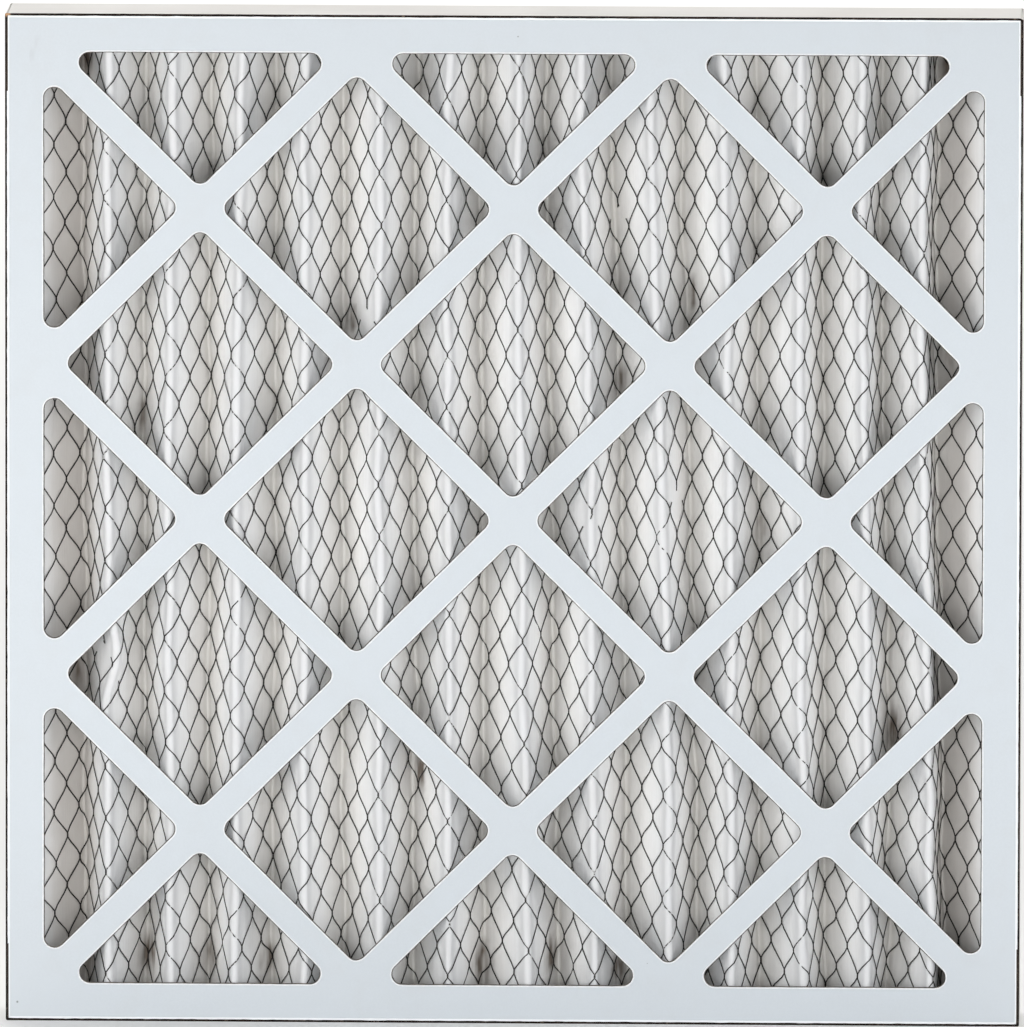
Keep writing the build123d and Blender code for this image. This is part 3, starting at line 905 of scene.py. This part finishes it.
def rim_material():
    m = Mat("board_lip_highlight_and_cut_shadow")
    lip = m.ramp(m.attr("lip"), 0.35, 0.65)
    n = m.noise(m.mapping((1, 1, 1)), 500, 3, 0.6)
    fib = m.noise(m.mapping((1, 1, 1), (5, 5, 5)), 1800, 2, 0.6)
    # painted highlight: the lip is much lighter than the coated face, as if its rolled edge catches the light
    lip_painted_highlight = m.mix(m.ramp(n, 0.3, 0.7), (0.70, 0.725, 0.745), (0.80, 0.81, 0.82))
    # the dark cut of the board, dark enough to be also a painted shadow between the board's edge and the media behind
    # it
    cut = m.mix(m.ramp(n, 0.32, 0.7), (0.052, 0.044, 0.038), (0.16, 0.135, 0.11))
    cut = m.mix(m.ramp(fib, 0.5, 0.75, 0.0, 0.4), cut, (0.30, 0.26, 0.21))
    m.set(color=m.mix(lip, cut, lip_painted_highlight), rough=m.ramp(lip, 0.0, 1.0, 0.85, 0.5), spec=0.3)
    m.bump(fib, 0.00006, 0.7)
    return m.mat


def cut_edge_material():
    m = Mat("raw_board_edge_and_gap_shadow")
    n = m.noise(m.mapping((1, 1, 1)), 90, 4, 0.65)
    n2 = m.noise(m.mapping((1, 1, 1), (9, 4, 2)), 420, 3, 0.6)
    fib = m.noise(m.mapping((1, 1, 1), (2, 8, 5)), 1500, 2, 0.6)
    # near-black cut core, partly painted shadow of the gap between the trays
    c = m.mix(m.ramp(n, 0.35, 0.65), (0.004, 0.003, 0.003), (0.022, 0.014, 0.011))
    c = m.mix(m.ramp(n2, 0.60, 0.76, 0.0, 0.60), c, (0.22, 0.165, 0.13))
    c = m.mix(m.ramp(fib, 0.55, 0.8, 0.0, 0.3), c, (0.34, 0.27, 0.21))
    # a torn tan fleck at the upper left corner
    fleck = m.vmath("DISTANCE", m.tc.outputs["Object"], (-0.2465, -0.0222, 0.4950))
    c = m.mix(m.ramp(fleck, 0.0006, 0.0021, 0.9, 0.0), c, (0.56, 0.34, 0.19))
    m.set(color=c, rough=0.9, spec=0.15)
    m.bump(m.math("ADD", n2, fib), 0.00012, 0.8)
    return m.mat


def media_material():
    m = Mat("nonwoven_media")
    obj = m.tc.outputs["Object"]
    x, y, z = m.xyz(obj)
    arc = m.attr("arc")
    comb = m.node("ShaderNodeCombineXYZ")
    m.link(arc, comb.inputs[0])
    m.link(z, comb.inputs[2])
    sheet = comb.outputs[0]
    streak = m.noise(m.mapping((1, 1, 0.03), (0, 0, 0), sheet), 520, 1, 0.55)
    streak2 = m.noise(m.mapping((1, 1, 0.06), (4, 0, 2), sheet), 140, 1, 0.5)
    felt = m.noise(m.mapping((1, 1, 0.10), (0, 0, 0), sheet), 620, 1, 0.6)
    # painted fill light: the sheet turns warmer towards the back of the pleats, for light bouncing deep inside them
    painted_depth_fill = m.ramp(y, -0.014, 0.012)
    base = m.mix(painted_depth_fill, MEDIA_TOP, MEDIA_DEEP_PAINTED_FILL)
    # painted shade: the crests are dimmed, because the lamps light them most
    base = m.mix(m.ramp(y, -0.0190, -0.0120, 1.0, 0.0), base, MEDIA_CREST_PAINTED_SHADE)
    # painted shade: the front of each valley fold is darkened
    base = m.mix(m.math("MULTIPLY", m.ramp(m.attr("valley"), 0.1, 0.9), 0.75), base, (0.80, 0.78, 0.745))
    c = m.mix(m.ramp(streak, 0.3, 0.7, 0.0, 0.10), base, (0.66, 0.65, 0.63))
    c = m.mix(m.ramp(streak2, 0.45, 0.75, 0.0, 0.10), c, (0.95, 0.95, 0.955))
    # random mottling, with painted shade on the outer pleats beside the side walls
    c = m.mix(m.math("MULTIPLY", m.attr("mottle_and_side_shade"), 0.10), c, (0.60, 0.57, 0.54))
    # painted brown shade in some valleys, where they run behind the strips and walls
    grain = m.ramp(m.noise(m.mapping((1, 1, 0.35), (6, 6, 6)), 160, 1, 0.6), 0.30, 0.72, 0.25, 1.0)
    painted_valley_shade = m.math("MULTIPLY", m.attr("painted_valley_shade"), grain)
    c = m.mix(m.math("MULTIPLY", painted_valley_shade, 0.88), c, (0.13, 0.09, 0.06))
    m.set(color=c, rough=0.95, spec=0.0)
    m.bump(felt, 0.00020, 0.6)
    return m.mat


def wire_material():
    m = Mat("dark_expanded_metal")
    n = m.noise(m.mapping((1, 1, 1)), 260, 3, 0.6)
    dash = m.noise(m.mapping((1, 1, 1), (3, 3, 3)), 620, 1, 0.5)
    c = m.mix(m.ramp(n, 0.35, 0.7), (0.008, 0.007, 0.006), (0.026, 0.022, 0.019))
    up = m.mix(m.ramp(n, 0.35, 0.7), (0.012, 0.011, 0.010), (0.036, 0.032, 0.029))
    # painted light: strands near the front are a little lighter, strands deeper in the pleats darker
    c = m.mix(m.ramp(m.attr("depth"), -0.019, -0.002, 1.0, 0.0), c, up)
    # painted glints: near-white dashes where the strands carry the painted glint value
    g = m.math("MULTIPLY", m.ramp(m.attr("painted_glint"), 0.25, 0.7), m.ramp(dash, 0.50, 0.58))
    c = m.mix(g, c, (0.52, 0.52, 0.515))
    m.set(color=c, rough=m.ramp(n, 0.3, 0.7, 0.42, 0.6), metal=0.25, spec=0.4)
    m.bump(m.noise(m.mapping((1, 1, 1), (8, 1, 6)), 1800, 2, 0.5), 0.00004, 0.5)
    return m.mat


def adhesive_material():
    m = Mat("hot_melt_adhesive")
    n = m.noise(m.mapping((1, 1, 1)), 120, 3, 0.55)
    f = m.noise(m.mapping((1, 1, 1), (3, 1, 2)), 700, 2, 0.5)
    c = m.mix(m.ramp(n, 0.3, 0.7), (0.74, 0.70, 0.60), (0.84, 0.82, 0.75))
    m.set(color=c, rough=m.ramp(n, 0.3, 0.7, 0.28, 0.45), spec=0.5, sss=0.0)
    m.bump(m.math("ADD", n, m.math("MULTIPLY", f, 0.3)), 0.0003, 0.5)
    return m.mat


def floor_material():
    m = Mat("studio_floor")
    n = m.noise(m.mapping((1, 1, 1)), 3.0, 3, 0.5)
    c = m.mix(m.ramp(n, 0.3, 0.7), (0.90, 0.90, 0.905), (0.92, 0.92, 0.92))
    m.set(color=c, rough=0.8, spec=0.2)
    return m.mat


# the crest colour holds painted shade, the deep colour painted fill light
MEDIA_CREST_PAINTED_SHADE = (0.715, 0.725, 0.740)
MEDIA_TOP = (0.925, 0.933, 0.942)
MEDIA_DEEP_PAINTED_FILL = (0.932, 0.919, 0.899)
mat_front = board_material("coated_board_front", (0.578, 0.621, 0.660), True)
mat_rear = board_material("coated_board_rear", (0.69, 0.675, 0.648), False)
mat_rim = rim_material()
mat_cut_and_gap_shadow = cut_edge_material()
# painted highlight: a much lighter copy of the coated board for the crushed fold
mat_fold_highlight = board_material("coated_board_fold_painted_highlight", (0.84, 0.865, 0.89), True)
mat_media = media_material()
mat_wire = wire_material()
mat_glue = adhesive_material()


def assign(ob, mat):
    ob.data.materials.clear()
    ob.data.materials.append(mat)


def assign_cad(name, mat):
    for s in nodes[name].material_slots:
        s.material = mat


assign_cad("front_lattice_tray", mat_front)
assign_cad("rear_lattice_tray", mat_rear)
assign(media, mat_media)
assign(wire, mat_wire)
assign(rims_front, mat_rim)
assign(rims_rear, mat_rim)
assign(cut_edge, mat_cut_and_gap_shadow)
assign(fold_lip_highlight, mat_fold_highlight)
for b in (bead_top, bead_bottom, bead_left, bead_right):
    assign(b, mat_glue)

for ob, slot_name, old in ((media, "media", "pleated_media"), (wire, "wire", "wire_support"),
                           (bead_top, "adhesive", "adhesive_bead_top"), (bead_bottom, "adhesive", "adhesive_bead_bottom"),
                           (bead_left, "adhesive", "adhesive_bead_left"), (bead_right, "adhesive", "adhesive_bead_right")):
    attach(ob, "root")
    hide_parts(old)
for ob, slot_name in ((rims_front, "board_front"), (rims_rear, "board_rear"), (cut_edge, "board_rear"),
                      (fold_lip_highlight, "board_front")):
    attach(ob, "root")


# ------------------------------------------------------------------ floor, lights, camera
def build_floor():
    n, size = 12, 16000.0
    g = np.linspace(-size, size, n + 1)
    verts = [(x, y, 0.0) for y in g for x in g]
    faces = [(r * (n + 1) + c, r * (n + 1) + c + 1, (r + 1) * (n + 1) + c + 1, (r + 1) * (n + 1) + c)
             for r in range(n) for c in range(n)]
    return mesh_object("studio_floor", verts, faces)


floor = build_floor()
assign(floor, floor_material())

centre = Vector((0, 0, HH * MM))


def area_light(name, az, el, dist, w, h, power, color=(1, 1, 1), target=centre):
    a, e = math.radians(az), math.radians(el)
    pos = target + Vector((math.sin(a) * math.cos(e), -math.cos(a) * math.cos(e), math.sin(e))) * dist
    li = bpy.data.lights.new(name, "AREA")
    li.shape = "RECTANGLE"
    li.size, li.size_y = w, h
    li.energy = power
    li.color = color
    ob = bpy.data.objects.new(name, li)
    ob.location = pos
    ob.rotation_euler = (target - pos).to_track_quat("-Z", "Y").to_euler()
    bpy.context.scene.collection.objects.link(ob)
    return ob


area_light("softbox_left", -38, 3, 1.00, 0.49, 0.60, 3.06, (1.0, 0.988, 0.968))
area_light("softbox_right", 45, 0, 0.95, 0.475, 0.49, 1.80, (0.995, 0.997, 1.0))
area_light("front_fill", 0, 1, 2.2, 1.60, 0.52, 16.9, (0.978, 0.991, 1.0))
area_light("low_card", 0, -17, 0.62, 1.00, 0.10, 0.28, (0.98, 0.992, 1.0))
area_light("high_card", -30, 32, 0.80, 0.30, 0.20, 0.16, (1.0, 0.99, 0.975))
area_light("sky_panel", 180, 65, 7.0, 14.0, 12.0, 760, (1.0, 0.985, 0.965), target=Vector((0, 0, 0)))
area_light("floor_wash", 180, 28, 5.8, 8.0, 4.0, 340, target=Vector((0, 6.0, 0)))

WORLD = 0.08
world = bpy.data.worlds.new("studio_world")
world.use_nodes = True
world.node_tree.nodes["Background"].inputs[0].default_value = (1.0, 1.0, 1.0, 1.0)
world.node_tree.nodes["Background"].inputs[1].default_value = WORLD
bpy.context.scene.world = world

cam_data = bpy.data.cameras.new("camera")
cam = bpy.data.objects.new("camera", cam_data)
bpy.context.scene.collection.objects.link(cam)
D = 12.0
a, e = math.radians(AZ), math.radians(EL)
back = Vector((math.sin(a) * math.cos(e), -math.cos(a) * math.cos(e), math.sin(e)))
aim = Vector((0.0, -0.0222, HH * MM))
cam_data.sensor_fit = "AUTO"
cam_data.sensor_width = 36.0
cam_data.lens = 36.0 * D / 0.50050
right = Vector((math.cos(a), math.sin(a), 0.0))
up = back.cross(right)
cam.location = aim + back * D + up * 0.0036 - right * 0.0005
cam.rotation_mode = "QUATERNION"
cam.rotation_quaternion = (-back).to_track_quat("-Z", "Y") @ Quaternion((0, 0, 1), math.radians(0.107))
cam_data.clip_start, cam_data.clip_end = 0.1, 60.0
cam_data.dof.use_dof = False
bpy.context.scene.camera = cam
bpy.context.scene.view_settings.view_transform = "Standard"
bpy.context.scene.view_settings.look = "None"

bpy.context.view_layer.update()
tri = {o.name: sum(len(p.vertices) - 2 for p in o.data.polygons) for o in (media, wire, rims_front, rims_rear, cut_edge, fold_lip_highlight, bead_top, bead_bottom, bead_left, bead_right)}
print("TRIANGLES", tri)
